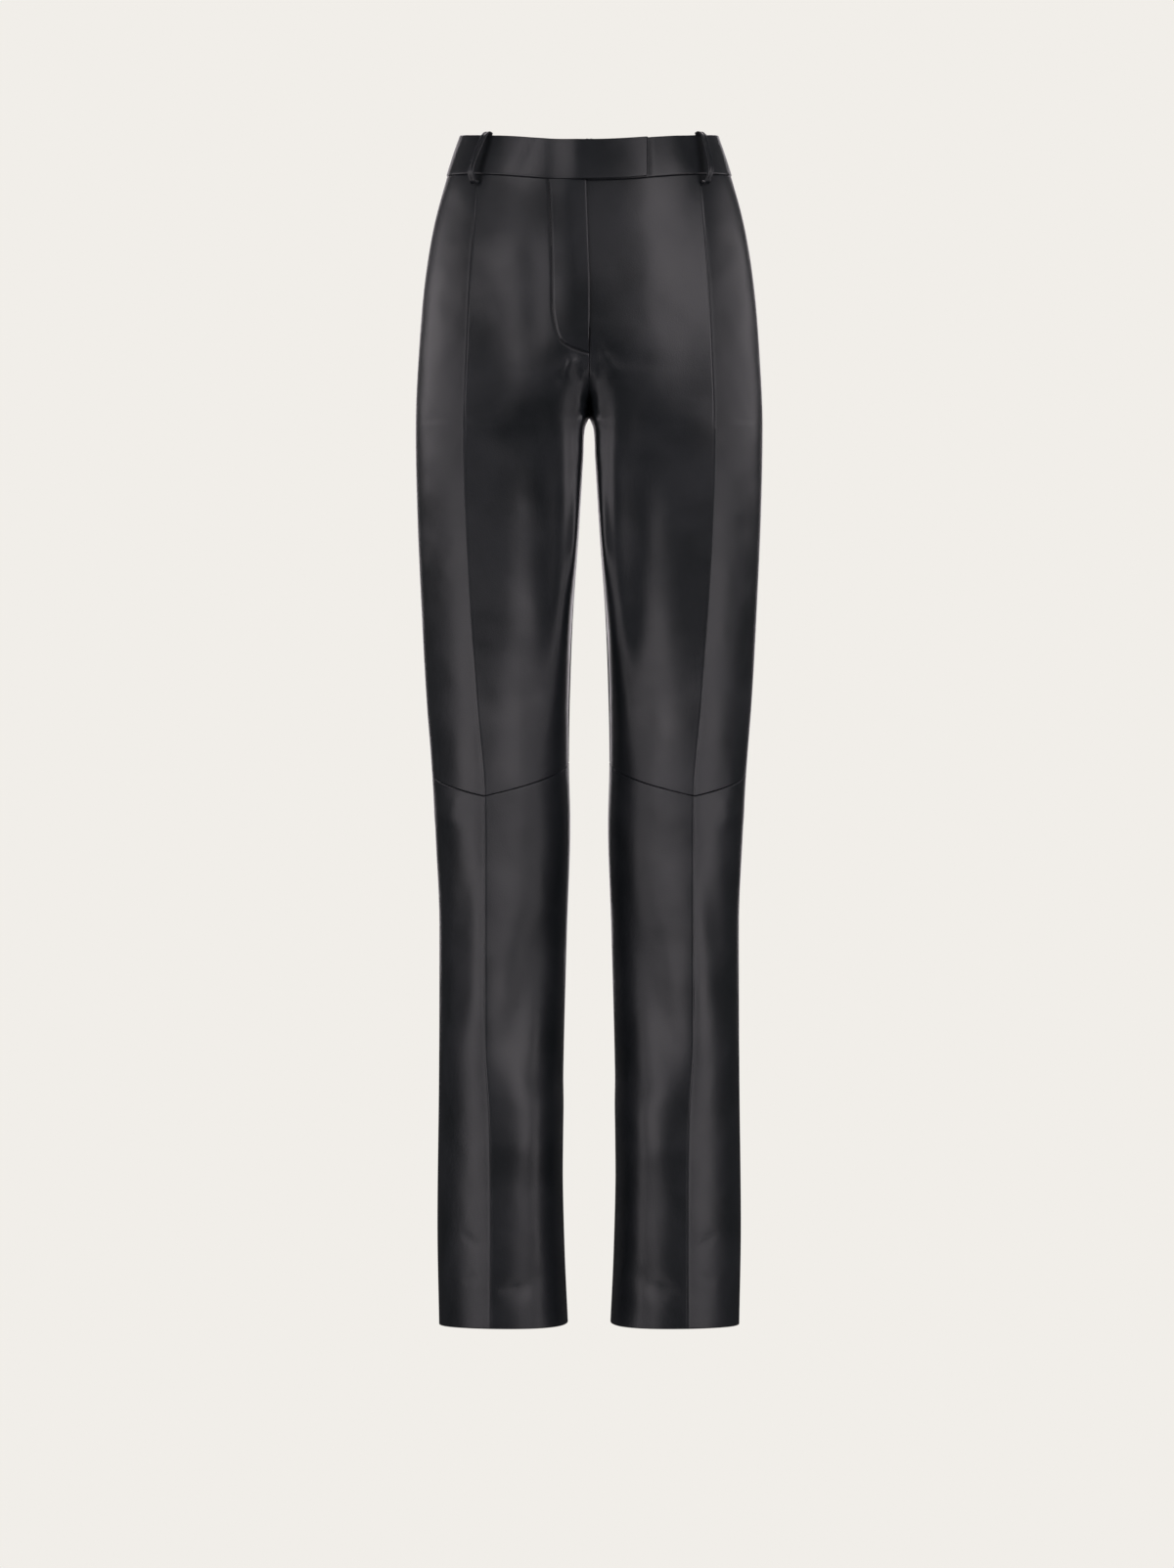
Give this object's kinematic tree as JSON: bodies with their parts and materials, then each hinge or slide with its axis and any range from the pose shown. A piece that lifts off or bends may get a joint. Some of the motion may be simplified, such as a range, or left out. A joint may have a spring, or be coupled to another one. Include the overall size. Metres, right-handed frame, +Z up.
{
  "type": "leather trousers",
  "caption": "Straight high-waisted leather trousers in worn hollow form, with pressed creases, knee seams, a closed fly and a tabbed waistband with belt loops.",
  "frame": {"origin": "middle of the waist opening, level with the waistband's top edge at the side, where the wearer holds the trousers", "axes": "+Z up, -Y towards the front, +X towards the wearer's left"},
  "size_m": [0.3194, 0.2285, 1.1021],
  "materials": {
    "nappa": "black nappa with a soft satin sheen, smooth fine grain",
    "zip_tape": "black woven zip tape with a closed moulded chain",
    "zip_metal": "gunmetal slider and pull",
    "hook_metal": "gunmetal hook and bar plates"
  },
  "bodies": {
    "root": {"back_lower_left": "nappa", "back_lower_right": "nappa", "back_upper_left": "nappa", "back_upper_right": "nappa", "belt_loop_back_left": "nappa", "belt_loop_back_right": "nappa", "belt_loop_centre_back": "nappa", "belt_loop_front_left": "nappa", "belt_loop_front_right": "nappa", "fly_zip": "zip_tape", "front_lower_left": "nappa", "front_lower_right": "nappa", "front_upper_left": "nappa", "front_upper_right": "nappa", "waist_bar": "hook_metal", "waist_hook": "hook_metal", "waistband_left": "nappa", "waistband_right": "nappa", "zip_slider": "zip_metal"}
  },
  "joints": []
}
